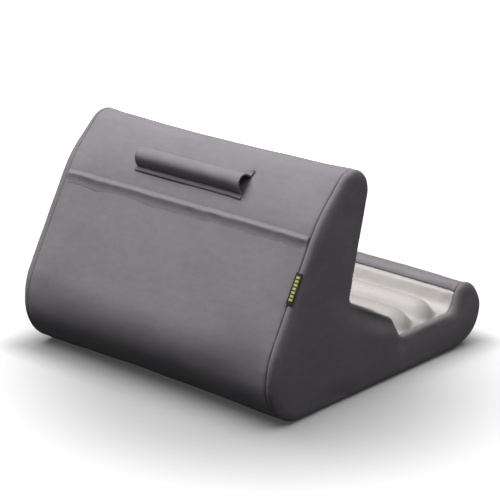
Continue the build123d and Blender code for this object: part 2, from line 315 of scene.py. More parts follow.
class Sheet:
    """A wrap panel's cloth: a grid over (s, x), pinned along its seams, swollen by pressure."""

    def __init__(self, name, s0, s1, step=5.0, pressure=4.0, shrink=-0.012, cap=3.0, calm=0, extra_pins=()):
        self.name, self.cap, self.calm = name, cap, calm
        ns, nx = max(4, int(round((s1 - s0) / step))) + 1, int(round(2 * SEAM_X / step)) + 1
        self.S, self.X = np.linspace(s0, s1, ns), np.linspace(-SEAM_X, SEAM_X, nx)
        p, n = PRO.at(self.S)
        self.n = n
        self.rest = np.zeros((ns, nx, 3))
        self.rest[..., 0] = self.X[None, :]
        self.rest[..., 1:] = p[:, None, :]
        idx = np.arange(ns * nx).reshape(ns, nx)
        f = np.stack([idx[:-1, :-1], idx[:-1, 1:], idx[1:, 1:], idx[1:, :-1]], -1).reshape(-1, 4)
        o = new_mesh(name + "_sim", self.rest.reshape(-1, 3), f, smooth=False)
        # outward faces, so that the pressure pushes outwards
        me = o.data
        c = me.polygons[len(me.polygons) // 2]
        i, j = divmod(c.vertices[0], nx)
        if c.normal.y * n[i, 0] + c.normal.z * n[i, 1] < 0:
            me.flip_normals()
        pins = set(idx[0]) | set(idx[-1]) | set(idx[:, 0]) | set(idx[:, -1])
        for s in extra_pins:
            pins |= set(idx[int(np.argmin(np.abs(self.S - s)))])
        add_cloth(o, sorted(pins), pressure, shrink, 12.0, 0.6)
        self.sim = o.name

    def take(self, result):
        d = (result[self.sim].reshape(self.rest.shape) - self.rest)
        d = d[..., 1] * self.n[:, None, 0] + d[..., 2] * self.n[:, None, 1]
        print("sheet", self.name, "moved", round(float(d.min()), 2), round(float(d.max()), 2), "mean", round(float(d.mean()), 2))
        self.delta = self.cap * np.tanh(d / self.cap)
        for _ in range(self.calm):
            g = np.pad(self.delta, 1, mode="edge")
            g = 0.25 * g[:-2] + 0.5 * g[1:-1] + 0.25 * g[2:]
            g = 0.25 * g[:, :-2] + 0.5 * g[:, 1:-1] + 0.25 * g[:, 2:]
            edge = np.zeros_like(self.delta, bool)
            edge[[0, -1]] = edge[:, [0, -1]] = True
            self.delta = np.where(edge, self.delta, g)

    def at(self, s, x):
        """delta on the grid of s by x."""
        i = np.clip(np.interp(s, self.S, np.arange(len(self.S))), 0, len(self.S) - 1)
        j = np.clip(np.interp(x, self.X, np.arange(len(self.X))), 0, len(self.X) - 1)

        def cubic(f, n):
            a = np.clip(np.floor(f).astype(int), 0, n - 2)
            t = f - a
            k = np.clip(np.stack([a - 1, a, a + 1, a + 2], -1), 0, n - 1)
            w = np.stack([(1 - t) ** 3, 3 * t**3 - 6 * t**2 + 4, -3 * t**3 + 3 * t**2 + 3 * t + 1, t**3], -1) / 6
            return k, w

        ki, wi = cubic(i, len(self.S))
        kj, wj = cubic(j, len(self.X))
        rows = np.einsum("ak,akx->ax", wi, self.delta[ki])
        return np.einsum("bk,abk->ab", wj, rows[:, kj])


# ------------------------------------------------------------------ side panels
RINGS = [  # how far inside the outline, how far out from the seam plane
    (1.35, 0.16), (0.75, 0.32), (0.36, 0.62), (0.12, 1.05), (0.0, 1.7), (0.06, 2.5), (0.3, 3.3),
    (0.8, 4.1), (1.6, 4.8), (2.8, 5.4), (4.3, 5.85), (6.0, 6.15), (7.6, 6.3),
]


def ring_points(d, fractions):
    """Points on the outline moved in by d, one for each (corner, fraction) or (line, fraction)."""
    corners, dirs = segments(d)
    n = len(corners)
    out = []
    for kind, i, t in fractions:
        a, b, c, r, start, turn, sign = corners[i]
        if kind == 0:
            th = start + turn * t
            out.append((c[0] + r * math.cos(th), c[1] + r * math.sin(th)))
        else:
            e = corners[(i + 1) % n][0]
            out.append((b[0] + (e[0] - b[0]) * t, b[1] + (e[1] - b[1]) * t))
    return np.array(out)


def outline_fractions(step):
    corners, dirs = segments(0.0)
    n = len(corners)
    out = []
    for i in range(n):
        a, b, c, r, start, turn, sign = corners[i]
        k = max(5, int(round(abs(turn) * r / step)))
        out += [(0, i, j / k) for j in range(k)]
        e = corners[(i + 1) % n][0]
        k = max(2, int(round(math.hypot(e[0] - b[0], e[1] - b[1]) / step)))
        out += [(1, i, j / k) for j in range(k)]
    return out


def side_mesh(step, rings, fill):
    """(V (y, z), depth in, x out, faces) of a side panel: rings round the edge, triangles inside."""
    fr = outline_fractions(step)
    k = len(fr)
    pts = [ring_points(d, fr) for d, _ in rings]
    V = np.concatenate(pts)
    X = np.concatenate([np.full(k, x) for _, x in rings])
    F = []
    for r in range(len(rings) - 1):
        for i in range(k):
            j = (i + 1) % k
            F.append((r * k + i, r * k + j, (r + 1) * k + j, (r + 1) * k + i))
    last = pts[-1]
    outline = ring_points(0.0, fr)
    lo, hi = last.min(0), last.max(0)
    grid = []
    row = 0
    z = lo[1]
    while z < hi[1]:
        y = lo[0] + (fill / 2 if row % 2 else 0)
        while y < hi[0]:
            grid.append((y, z))
            y += fill
        z += fill * 0.866
        row += 1
    grid = np.array(grid)
    # inside the last ring and not too near it
    def inside(p, poly):
        a, b = poly, np.roll(poly, -1, 0)
        c = (a[:, 1][None] > p[:, 1][:, None]) != (b[:, 1][None] > p[:, 1][:, None])
        with np.errstate(divide="ignore", invalid="ignore"):
            xx = (b[:, 0] - a[:, 0])[None] * (p[:, 1][:, None] - a[:, 1][None]) / (b[:, 1] - a[:, 1])[None] + a[:, 0][None]
        return (np.sum(c & (p[:, 0][:, None] < xx), 1) % 2) == 1
    dist = lambda p, q: np.sqrt(((p[:, None, :] - q[None]) ** 2).sum(-1)).min(1)
    keep = inside(grid, last)
    grid = grid[keep]
    grid = grid[dist(grid, last) > fill * 0.55]
    allp = np.concatenate([last, grid])
    res = delaunay_2d_cdt([Vector(p) for p in allp], [(i, (i + 1) % k) for i in range(k)], [], 1, 1e-6)
    vv = np.array([tuple(v) for v in res[0]])
    remap, new = {}, []
    base = len(V)
    for i, v in enumerate(vv):
        d2 = ((allp - v) ** 2).sum(1)
        j = int(np.argmin(d2))
        if d2[j] < 1e-6:
            remap[i] = (len(rings) - 1) * k + j if j < k else base + (j - k)
        else:
            remap[i] = base + len(grid) + len(new)
            new.append(v)
    if new:
        grid = np.concatenate([grid, np.array(new)])
    V = np.concatenate([V, grid])
    X = np.concatenate([X, np.full(len(grid), rings[-1][1])])
    F += [tuple(remap[i] for i in f) for f in res[2]]
    depth = np.concatenate([np.full(k, d) for d, _ in rings] + [dist(grid, outline)])
    return V, depth, X, F, k


RINGS_FLUSH = [
    (0.22, 0.16), (0.1, 0.5), (0.03, 1.1), (0.0, 1.9), (0.0, 2.9), (0.12, 3.9), (0.45, 5.0),
    (1.05, 6.0), (1.9, 6.9), (3.1, 7.7), (4.6, 8.3), (6.2, 8.6), (7.8, 8.8),
]
SIDE = {-1: side_mesh(2.6, RINGS, 4.2), 1: side_mesh(2.6, RINGS_FLUSH, 4.2)}
SIDE_SIM = side_mesh(5.0, [(0.0, 0.0), (4.5, 4.2)], 5.2)

# ------------------------------------------------------------------ run the cloth once for all the panels
rear = Sheet("rear", S_REAR, S_FOOT, 5.0, 5.0, -0.010, 2.9, calm=6)
lip = Sheet("lip", S_LIP, S_FRONT, 4.5, 4.0, -0.012, 1.6, calm=2)
tray = Sheet("tray", S_FOOT, S_LIP, 4.5, 2.0, -0.010, 1.6)


class SideSheet:
    def __init__(self):
        V, depth, X, F, k = SIDE_SIM
        self.V = V
        self.cap = 3.0
        co = np.column_stack([SEAM_X + X, V])
        o = new_mesh("side_sim", co, F, smooth=False)
        me = o.data
        if me.polygons[-1].normal.x < 0:
            me.flip_normals()
        self.rest = co
        add_cloth(o, range(k), 5.0, -0.010, 12.0, 0.6)
        self.sim = o.name

    def take(self, result):
        d = result[self.sim][:, 0] - self.rest[:, 0]
        print("side moved", round(float(d.min()), 2), round(float(d.max()), 2))
        self.delta = self.cap * np.tanh(d / self.cap)

    def at(self, P):
        out = np.empty(len(P))
        for a in range(0, len(P), 400):
            d2 = ((P[a:a + 400, None, :] - self.V[None]) ** 2).sum(-1)
            w = np.exp(-d2 / (2 * 5.0**2))
            out[a:a + 400] = (w * self.delta[None]).sum(1) / w.sum(1)
        return out


side_sheet = SideSheet()
result = run_cloth()
for sh in (rear, lip, tray, side_sheet):
    sh.take(result)


# ------------------------------------------------------------------ wrap panels
def wrap_panel(name, s0, s1, sheet, step=3.0, lift=None, thick=THICK, inset=None, pucker=0.35, ends=(True, True),
               dips=(1.3, 1.3), seed=0.0, half=None, side_dip=1.35, levels=1, xstep=3.0):
    """One sewn panel of the wrap, s0 to s1 round the outline and seam to seam across."""
    half = half or SEAM_X - GAP
    S = graded(s0 + GAP, s1 - GAP, step, *ends)
    X = graded(-half, half, xstep)
    p, n = PRO.at(S)
    d = sheet.at(S, X) if sheet is not None else np.zeros((len(S), len(X)))
    e0, e1 = (S - s0 - GAP)[:, None], (s1 - GAP - S)[:, None]
    ex = (half - np.abs(X))[None, :]
    D = d.copy()
    if ends[0]:
        D -= dip(e0, dips[0]) + 0 * ex
    if ends[1]:
        D -= dip(e1, dips[1]) + 0 * ex
    D -= dip(ex, side_dip) * np.where(X > 0, 0.12, 1.0)[None, :] + 0 * e0
    # puckers along the side seams and the cross seams, and slow waves in the cloth
    pts = np.zeros((len(S), len(X), 3))
    pts[..., 0] = X[None, :]
    pts[..., 1:] = p[:, None, :]
    flat = pts.reshape(-1, 3)
    slow = field(flat, 55.0, 3.1 + seed).reshape(D.shape)
    along_s = field(np.stack([np.sign(X)[None, :] * 40 + 0 * S[:, None], S[:, None] + 0 * X[None, :], 0 * S[:, None] + 0 * X[None, :]], -1).reshape(-1, 3), 9.0, 7.7 + seed, 2).reshape(D.shape)
    along_x = field(np.stack([X[None, :] + 0 * S[:, None], 0 * S[:, None] + np.where(e0 < e1, 10.0, 60.0) + 0 * ex, 0 * S[:, None] + 0 * X[None, :]], -1).reshape(-1, 3), 11.0, 1.9 + seed, 2).reshape(D.shape)
    fade_side = np.exp(-ex / 9.0) * np.clip(ex / 1.5, 0, 1) + 0 * e0
    es = np.minimum(e0 if ends[0] else e0 * 0 + 1e3, e1 if ends[1] else e1 * 0 + 1e3)
    fade_end = np.exp(-es / 7.0) * np.clip(es / 1.5, 0, 1) + 0 * ex
    mask = smoothstep(np.minimum(es, ex) / 10.0)
    D += pucker * along_s * fade_side + pucker * 0.8 * along_x * fade_end + 0.45 * slow * mask
    if lift is not None:
        D += lift(S, X, p)
    drop = inset(S, X) if inset is not None else np.zeros((len(S), len(X)))
    outer = pts.copy()
    outer[..., 1] += n[:, None, 0] * (D - drop)
    outer[..., 2] += n[:, None, 1] * (D - drop)
    inner = pts.copy()
    t = thick(S, X) if callable(thick) else thick
    under = np.minimum(np.clip(D, -0.3, 6) - t, D - 0.5) - drop
    inner[..., 1] += n[:, None, 0] * under
    inner[..., 2] += n[:, None, 1] * under
    outer[..., 1:] += fuller(outer[..., 1], outer[..., 2])
    inner[..., 1:] += fuller(inner[..., 1], inner[..., 2])
    uv = np.zeros((len(S), len(X), 2))
    uv[..., 0], uv[..., 1] = X[None, :], S[:, None]
    o = close_grid(name, outer, inner, uv, levels)
    return orient(o)


def hem_hollow(S, X, p):
    """The pocket mouth pulls the panel in just under the hem."""
    e = (S_HEM - S)[:, None]
    return -0.66 * (1 - smoothstep((e - 8.0) / 36.0)) * smoothstep(e / 2.0) * np.ones_like(X)[None, :] * smoothstep((SEAM_X - np.abs(X)) / 5.0)[None, :]


def above_hem(S, X, p):
    """The back panel is drawn in a little where it runs into the pocket."""
    e = (S - S_HEM)[:, None]
    out = -0.5 * np.exp(-np.clip(e, 0, None) / 5.0) * (e >= 0) * np.ones_like(X)[None, :]
    # drawn in along the sleeve's two rows of stitches
    ps, _ = PRO.at(S)
    t = (ps[:, 0] - SLEEVE_AT[0]) * 0.6699 + (ps[:, 1] - SLEEVE_AT[1]) * -0.7425
    near = np.hypot(ps[:, 0] - SLEEVE_AT[0], ps[:, 1] - SLEEVE_AT[1]) < 30
    inx = smoothstep((X + 56) / 5) * smoothstep((64 - X) / 5)
    g = np.where(near, np.exp(-((t - 9.5) / 1.8) ** 2) + np.exp(-((t + 10.5) / 1.8) ** 2), 0.0)
    return out - 0.35 * g[:, None] * inx[None, :]


pocket = wrap_panel("pocket_cover", S_REAR, S_HEM, rear, 3.0, hem_hollow, thick=1.3, seed=2.0, dips=(1.0, 0.3))


def back_drop(S, X):
    """Above the mouth the back panel is the outside; below it, it passes behind the pocket."""
    e = (S_HEM - S)[:, None]
    return np.where(e > 0.2, 1.55 + 1.2 * smoothstep((e - 0.2) / 1.5), 0.0) * np.ones_like(X)[None, :]


def back_panel():
    """The back panel: outside above the pocket mouth, a thinner ply behind the pocket below it."""
    S = np.concatenate([graded(S_REAR + GAP, S_HEM - 0.6, 6.0, True, False),
                        graded(S_HEM + 0.1, S_FOOT - GAP, 3.0, False, True)])
    half = SEAM_X - GAP
    X = graded(-half, half, 3.0)
    p, n = PRO.at(S)
    e1 = (S_FOOT - GAP - S)[:, None]
    ex = (half - np.abs(X))[None, :]
    below = (S < S_HEM)[:, None] & np.ones(len(X), bool)[None, :]
    D = rear.at(S, X)
    pts = np.zeros((len(S), len(X), 3))
    pts[..., 0] = X[None, :]
    pts[..., 1:] = p[:, None, :]
    slow = field(pts.reshape(-1, 3), 55.0, 3.1).reshape(D.shape)
    along = field(np.stack([np.sign(X)[None, :] * 40 + 0 * S[:, None], S[:, None] + 0 * X[None, :], 0 * S[:, None] + 0 * X[None, :]], -1).reshape(-1, 3), 9.0, 7.7).reshape(D.shape)
    along_x = field(np.stack([X[None, :] + 0 * S[:, None], 10 + 0 * S[:, None] + 0 * ex, 0 * S[:, None] + 0 * X[None, :]], -1).reshape(-1, 3), 10.0, 4.9).reshape(D.shape)
    up = D - dip(e1, 1.3) - dip(ex, 1.35) * np.where(X > 0, 0.12, 1.0)[None, :]
    up = up + 0.35 * along * np.exp(-ex / 9.0) * np.clip(ex / 1.5, 0, 1) + 0.45 * slow * smoothstep(np.minimum(e1, ex) / 10.0)
    up = up + 0.4 * along_x * np.exp(-e1 / 7.0) * np.clip(e1 / 1.5, 0, 1)
    up = up + above_hem(S, X, p)
    low = np.minimum(D, 0.0) - 3.05 + np.clip(D - 0.6, 0, 3)
    outer_d = np.where(below, low, up)
    inner_d = np.where(below, low - 0.9, np.clip(up, -0.3, 6) - THICK)
    inner_d = np.minimum(inner_d, outer_d - 0.35)
    outer, inner = pts.copy(), pts.copy()
    for k in (0, 1):
        outer[..., 1 + k] += n[:, None, k] * outer_d
        inner[..., 1 + k] += n[:, None, k] * inner_d
    uv = np.zeros((len(S), len(X), 2))
    uv[..., 0], uv[..., 1] = X[None, :], S[:, None]
    return orient(close_grid("back_cover", outer, inner, uv, 1))


back = back_panel()


def ridges(S, X, p):
    """The two rolls of the tray: full across the middle, rounded away before the side seams."""
    y, z = p[:, 0], p[:, 1]
    flat = (z < 37.5) & (y < -24) & (y > -99)
    h = np.zeros((len(S), len(X)))
    for i, ry in enumerate(RIDGE_Y):
        dy = np.abs(y - ry)[:, None]
        dx = np.clip(np.abs(X) - RIDGE_HALF, 0, None)[None, :]
        r = np.sqrt(dy**2 + (dx * 0.92) ** 2)
        top = RIDGE_H * np.clip(1 - (r / RIDGE_W) ** 2.2, 0, 1) ** 0.8
        h = np.maximum(h, top)
    ok = smoothstep((y + 99) / 3.0) * smoothstep((-24.5 - y) / 3.0) * flat
    return h * ok[:, None]


def tray_lift(S, X, p):
    h = ridges(S, X, p)
    # soften the valleys
    k = 3
    for _ in range(2):
        g = h.copy()
        g[1:-1] = 0.25 * h[:-2] + 0.5 * h[1:-1] + 0.25 * h[2:]
        g[:, 1:-1] = 0.25 * g[:, :-2] + 0.5 * g[:, 1:-1] + 0.25 * g[:, 2:]
        h = g
    ex = (SEAM_X - np.abs(X))[None, :]
    pts = np.zeros((len(S), len(X), 3))
    pts[..., 0] = X[None, :]
    pts[..., 1] = S[:, None]
    tug = field(pts.reshape(-1, 3), 16.0, 5.5, 2).reshape(h.shape)
    return h + (0.8 * tug * smoothstep(ex / 6.0) * np.exp(-ex / 30.0))


tray_top = wrap_panel("tray_lining", S_FOOT, S_LIP, tray, 1.7, tray_lift, thick=1.6, seed=5.0, pucker=0.55, dips=(1.0, 2.6), xstep=2.6)


def lip_lift(S, X, p):
    """The lip is a full bolster: it rolls over its seam with the tray and stands proud in front."""
    e = (S - S_LIP)[:, None]
    ex = (SEAM_X - np.abs(X))[None, :]
    roll = -2.8 * (1 - smoothstep(e / 10.0)) - 1.5 * np.exp(-((e - 18.0) / 9.0) ** 2)
    front = 1.3 * smoothstep((e - 14) / 16.0) * smoothstep((S_FRONT - S)[:, None] / 30.0)
    return roll * smoothstep(ex / 6.0) + front * smoothstep(ex / 7.0)


lip_top = wrap_panel("lip_cover", S_LIP, S_FRONT, lip, 2.4, lip_lift, seed=8.0, pucker=0.45, dips=(1.5, 0.8))
base_cloth = wrap_panel("base_cloth", S_FRONT, S_SLIT, None, 5.0, None, thick=2.0, seed=11.0, pucker=0.1, dips=(0.5, 0.0), ends=(True, False), xstep=5.0)
base_rear = wrap_panel("base_rear_cloth", -0.0, S_REAR, None, 3.0, None, thick=2.0, seed=12.0, pucker=0.1, dips=(0.0, 0.5), ends=(False, True), xstep=5.0)


# ------------------------------------------------------------------ side panels, left (+X) and right (-X)
def side_panel(name, sign):
    V, depth, X, F, k = SIDE[sign]
    d = side_sheet.at(V) * smoothstep((depth - 0.8) / 7.0)
    y, z = V[:, 0], V[:, 1]
    if sign > 0:
        keep = (1 - 0.45 * (1 - smoothstep((z - 5) / 70.0))) * (0.6 + 0.4 * smoothstep((188 - z) / 40.0))
        X = X * keep + 0.16 * (1 - keep)
    pts3 = np.column_stack([np.full(len(V), 30.0 * sign), V])
    slow = field(pts3, 50.0, 9.0 + sign)
    fine = field(pts3, 12.0, 2.0 + sign, 2)
    x = SEAM_X + X + d + 0.5 * slow * smoothstep(depth / 14.0)
    # the panel is drawn in where the tray seam turns its corners
    def dent(cy, cz, ry, rz, deep, ang):
        c, s = math.cos(math.radians(ang)), math.sin(math.radians(ang))
        u, v = (y - cy) * c + (z - cz) * s, -(y - cy) * s + (z - cz) * c
        return -deep * np.exp(-(u / ry) ** 2 - (v / rz) ** 2)
    fold = dent(11.0, 58.5, 27.0, 5.5, 3.4, 26.0) + dent(-29.0, 26.5, 9.0, 5.0, 1.2, 40.0) + dent(36.0, 70.0, 10.0, 7.0, 1.2, 40.0)
    fold += dent(-62.0, 27.0, 32.0, 4.0, 0.7, 0.0)
    fold -= dent(2.0, 44.0, 26.0, 8.0, 1.0, 20.0)
    fold -= dent(-114.0, 22.0, 16.0, 18.0, 2.2, 0.0)
    x += fold * smoothstep((depth - 0.4) / 3.0)
    edge = np.exp(-depth / 8.0) * np.clip(depth / 1.5, 0, 1)
    x += 0.35 * fine * edge
    n = len(V)
    V = V + fuller(y, z)
    outer = np.column_stack([x, V])
    o = new_mesh("tmp", outer, F, smooth=True)
    nor = np.zeros(n * 3, np.float32)
    o.data.vertices.foreach_get("normal", nor)
    nor = nor.reshape(-1, 3).astype(float)
    if nor[-1, 0] < 0:
        nor = -nor
    me = o.data
    bpy.data.objects.remove(o)
    bpy.data.meshes.remove(me)
    inner = outer - nor * THICK
    inner[:, 0] = np.maximum(inner[:, 0], SEAM_X + GAP)
    # the hidden edge turns straight in from the seam
    fr = outline_fractions(2.6)
    first = ring_points((1.35 if sign < 0 else 0.22) + THICK, fr)
    first = first + fuller(first[:, 0], first[:, 1])
    inner[:k, 1:] = first
    inner[:k, 0] = SEAM_X + GAP
    verts = np.concatenate([outer, inner])
    faces = [tuple(f) for f in F] + [tuple(i + n for i in f[::-1]) for f in F]
    faces += [(i, (i + 1) % k, n + (i + 1) % k, n + i)[::-1] for i in range(k)]
    verts[:, 0] *= sign
    uv = np.concatenate([V, V])
    return subdivide(orient(new_mesh(name, verts, faces, uv)), 1)


side_right = side_panel("right_side_cover", -1)
side_left = side_panel("left_side_cover", 1)


# ------------------------------------------------------------------ rolled hem of the pocket mouth
def local_frame(at):
    s = PRO.find(*at)
    p, n = PRO.at([s])
    p, n = p[0], n[0]
    return p, np.array([n[1], -n[0]]), n     # t runs down the back


def surface_at(t, base_s, x):
    """A point of the back cover's surface t mm down the slope from base_s, with its normal."""
    s = base_s - t
    p, n = PRO.at(s)
    d = rear.at(np.atleast_1d(s), np.atleast_1d(x))
    return p, n, d


def swept(name, base_s, path, xs, lift=None, wander=None, levels=1):
    """A closed tube: path(x) gives (t, n) points round its section, in the back surface's own frame."""
    rows = []
    uvs = []
    for x in xs:
        sec = path(x)
        t, h = sec[:, 0], sec[:, 1]
        s = base_s - t
        p, n = PRO.at(s)
        d = rear.at(s, np.array([x]))[:, 0]
        pt = np.column_stack([np.full(len(sec), x), p + n * (h + d)[:, None]])
        rows.append(pt)
        cum = np.concatenate([[0], np.cumsum(np.hypot(*np.diff(sec, axis=0).T))])
        uvs.append(np.column_stack([np.full(len(sec), x), cum]))
    R = np.array(rows)
    n_, m = R.shape[:2]
    V = R.reshape(-1, 3)
    F = []
    for i in range(n_ - 1):
        for j in range(m):
            k = (j + 1) % m
            F.append((i * m + j, i * m + k, (i + 1) * m + k, (i + 1) * m + j))
    # rounded caps
    U = np.concatenate(uvs)
    for end, i in ((0, 0), (1, n_ - 1)):
        centre = R[i].mean(0)
        ring0 = list(range(i * m, i * m + m))
        prev = ring0
        for shrink, out in ((0.6, 0.35), (0.2, 0.5)):
            base = len(V)
            ring = centre + (R[i] - centre) * shrink
            ring[:, 0] += (-out if end == 0 else out)
            V = np.vstack([V, ring])
            U = np.vstack([U, U[ring0]])
            for j in range(m):
                k = (j + 1) % m
                F.append((prev[j], prev[k], base + k, base + j))
            prev = list(range(base, base + m))
        F.append(tuple(prev))
    o = new_mesh(name, V, F, U)
    if levels:
        subdivide(o, levels)
    return orient(o)


HEM_HALF = 127.0
hem_noise = field(np.array([[x, 0, 0] for x in np.linspace(-130, 130, 261)]), 14.0, 4.4, 3)


def hem_section(x):
    w = np.interp(x, np.linspace(-130, 130, 261), hem_noise)
    v = np.interp(x + 9, np.linspace(-130, 130, 261), hem_noise)
    end = smoothstep((HEM_HALF + 1.0 - abs(x)) / 3.5)
    hgt = (1.75 + 0.28 * w) * (0.45 + 0.55 * end)
    wid = 5.0 + 0.4 * v
    # upper side rises gently out of the back, lower side drops to the pocket
    top = [(-1.9, 0.12), (-1.1, 0.28), (-0.3, 0.62), (0.4, 1.05), (1.0, 1.36), (1.6, 1.5), (2.2, 1.44), (2.9, 1.16),
           (3.7, 0.8), (4.5, 0.46), (5.4, 0.13), (6.4, -0.16), (7.4, -0.37), (8.4, -0.53), (9.4, -0.66), (10.2, -0.85)]
    low = [(9.0, -1.35), (6.5, -1.3), (4.0, -1.15), (1.8, -0.9), (-0.3, -0.4), (-1.5, -0.12)]
    pts = [(0.2 + 0.3 * v + t * wid / 5.0, h * hgt / 1.7 if h > 0 else h) for t, h in top] + [(0.2 + 0.3 * v + t * wid / 5.0, h) for t, h in low]
    return np.array(pts)


hem = swept("pocket_hem_roll", S_HEM + 1.2, hem_section, np.linspace(-HEM_HALF, HEM_HALF, 201))

# ------------------------------------------------------------------ stylus sleeve
S_SLEEVE = PRO.find(*SLEEVE_AT)
SLEEVE_X0, SLEEVE_X1 = -52.5, 57.0


def sleeve_path(x):
    """Middle line of the sleeve's cloth from its top edge, over the tunnel, to its hem: (t, h) pairs."""
    f = (x - SLEEVE_X0) / (SLEEVE_X1 - SLEEVE_X0)
    flare = smoothstep(1 - f / 0.10)          # towards the -X mouth the top edge stands up and spreads
    other = smoothstep((f - 0.93) / 0.07)
    w = np.interp(x, np.linspace(-130, 130, 261), hem_noise)
    top = 10.6 + 0.3 * w + 3.2 * flare
    hh = 9.7 + 0.25 * w + 0.35 * math.sin(f * math.pi)
    hw = 7.1 + 0.4 * flare
    pts = []
    # top flange, flat on the back, rising into the arch
    for q in np.linspace(0, 1, 7):
        t = -top + (top - hw - 1.2) * q
        pts.append((t, 0.85 + 1.1 * flare * (1 - q) ** 2))
    # arch
    for a in np.linspace(math.pi * 0.985, 0.015 * math.pi, 27):
        c, s_ = math.cos(a), math.sin(a)
        t = hw * np.sign(c) * abs(c) ** 0.95
        h = 0.85 + (hh - 0.1) * abs(s_) ** (1.0 + 0.4 * max(c, 0.0))
        pts.append((t, h))
    # stitched hem below: a groove, then a rolled edge
    for q, h in ((0.0, 0.85), (0.18, 0.74), (0.36, 0.8), (0.52, 0.92), (0.68, 0.95), (0.84, 0.8), (1.0, 0.55)):
        pts.append((hw + 0.9 + 3.4 * q, h))
    return np.array(pts)


def sleeve():
    xs = graded(SLEEVE_X0, SLEEVE_X1, 2.2)
    outer, inner, uv = [], [], []
    th = 1.15
    for x in xs:
        sec = sleeve_path(x)
        tang = np.gradient(sec, axis=0)
        tang /= np.linalg.norm(tang, axis=1, keepdims=True)
        nor = np.column_stack([-tang[:, 1], tang[:, 0]])
        f = (x - SLEEVE_X0) / (SLEEVE_X1 - SLEEVE_X0)
        roll = 0.25 * np.exp(-min(x - SLEEVE_X0, SLEEVE_X1 - x) / 1.6)   # thicker turned mouth edges
        o_ = sec + nor * (th / 2 + roll)
        i_ = sec - nor * (th / 2)
        i_[:, 1] = np.maximum(i_[:, 1], 0.1)
        o_[-5:, 1] -= np.array([0.0, 0.05, 0.12, 0.25, 0.4])
        o_[:, 1] = np.maximum(o_[:, 1], i_[:, 1] + 0.25)
        cum = np.concatenate([[0], np.cumsum(np.hypot(*np.diff(sec, axis=0).T))])
        # the mouths are cut on a slight curve; the -X one leans out at the top edge
        q = cum / cum[-1]
        dx = np.zeros(len(sec))
        left = math.exp(-(x - SLEEVE_X0) / 9.0)
        dx -= left * (1.7 + 0.9 * smoothstep((0.30 - q) / 0.30) + 0.9 * smoothstep((q - 0.9) / 0.1))
        right = math.exp(-(SLEEVE_X1 - x) / 7.0)
        dx += right * (-1.0 + 1.3 * smoothstep((q - 0.82) / 0.18) - 0.9 * smoothstep((0.5 - abs(q - 0.45)) / 0.4))
        for lst, sec2 in ((outer, o_), (inner, i_)):
            p, n = PRO.at(S_SLEEVE - sec2[:, 0])
            d = rear.at(S_SLEEVE - sec2[:, 0], np.array([x]))[:, 0]
            flat_d = np.interp(sec2[:, 0], [-13, 11], [d[0], d[-1]])
            q3 = np.column_stack([x + dx, p + n * (sec2[:, 1] + np.maximum(d, flat_d))[:, None]])
            lst.append(q3)
        uv.append(np.column_stack([np.full(len(sec), x), cum]))
    return orient(close_grid("stylus_sleeve_cloth", np.array(outer), np.array(inner), np.array(uv), 1))


sleeve_o = sleeve()

# ------------------------------------------------------------------ woven label
lab_lo, lab_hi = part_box("woven_label")
lab_mid_z = (lab_lo.z + lab_hi.z) / 2 / MM
(p1, p2) = (PROFILE[1], PROFILE[2])
LU = np.array([p1[0] - p2[0], p1[1] - p2[1]])
LU /= np.linalg.norm(LU)
LN = np.array([-LU[1], LU[0]])
joint = next(j for j in frame["joints"] if j["name"] == "label_flap")
LABEL_PIVOT = np.array(joint["pos_m"]) / MM
LABEL_LEN = 24.8


def label():
    centre = LABEL_PIVOT[1:] - LN * 0.0 - LN * SHOULDER
    angs = np.radians(np.linspace(-7, 40, 11))
    us = graded(-LABEL_LEN / 2, LABEL_LEN / 2, 1.6)
    wob = field(np.array([[u, 3, 1] for u in us]), 9.0, 6.1)
    outer, inner, uv = [], [], []
    # the label lies against the side panel's rolled edge
    for i, u in enumerate(us):
        ro, ri = [], []
        for a in angs:
            lift = 0.3 + 0.6 * (a / angs[-1]) ** 2 + 0.12 * wob[i] * (a / angs[-1])
            base = SHOULDER + 0.45 + lift
            for lst, r in ((ro, base + 0.45), (ri, base)):
                yz = LABEL_PIVOT[1:] - LN * (SHOULDER + 0.7) + LN * math.cos(a) * r + LU * u
                lst.append((-SEAM_X - math.sin(a) * r, yz[0], yz[1]))
        outer.append(ro)
        inner.append(ri)
        uv.append([(u, (math.degrees(a) + 7) / 47 * 6.5) for a in angs])
    return orient(close_grid("woven_label_ribbon", np.array(outer), np.array(inner), np.array(uv), 1))


label_o = label()


# ------------------------------------------------------------------ zip tapes
def tape(name, node, y_in):
    lo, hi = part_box(node)
    lo, hi = np.array(lo) / MM, np.array(hi) / MM
    X = np.linspace(lo[0], hi[0], 110)
    inner_y, outer_y = (hi[1], lo[1]) if y_in > 0 else (lo[1], hi[1])
    T = np.concatenate([np.linspace(0, 1.6, 6), np.linspace(1.6, abs(outer_y - inner_y), 9)[1:]])
    outer, inner, uv = [], [], []
    sgn = 1 if outer_y > inner_y else -1
    wob = field(np.array([[x, 0, y_in] for x in X]), 22.0, 3.3)
    for i, x in enumerate(X):
        y = inner_y + sgn * T
        bead = 0.16 * np.exp(-((T - 0.8) / 0.5) ** 2)
        mid = (lo[2] + hi[2]) / 2 + 0.12 * wob[i] * smoothstep((T - 2) / 4)
        outer.append(np.column_stack([np.full(len(T), x), y, mid - 0.26 - bead]))
        inner.append(np.column_stack([np.full(len(T), x), y, mid + 0.26 + bead]))
        uv.append(np.column_stack([np.full(len(T), x), T]))
    return orient(close_grid(name, np.array(outer), np.array(inner), np.array(uv), 0))


tape_f = tape("zip_tape_front_cloth", "zip_tape_front", 1)
tape_r = tape("zip_tape_rear_cloth", "zip_tape_rear", -1)


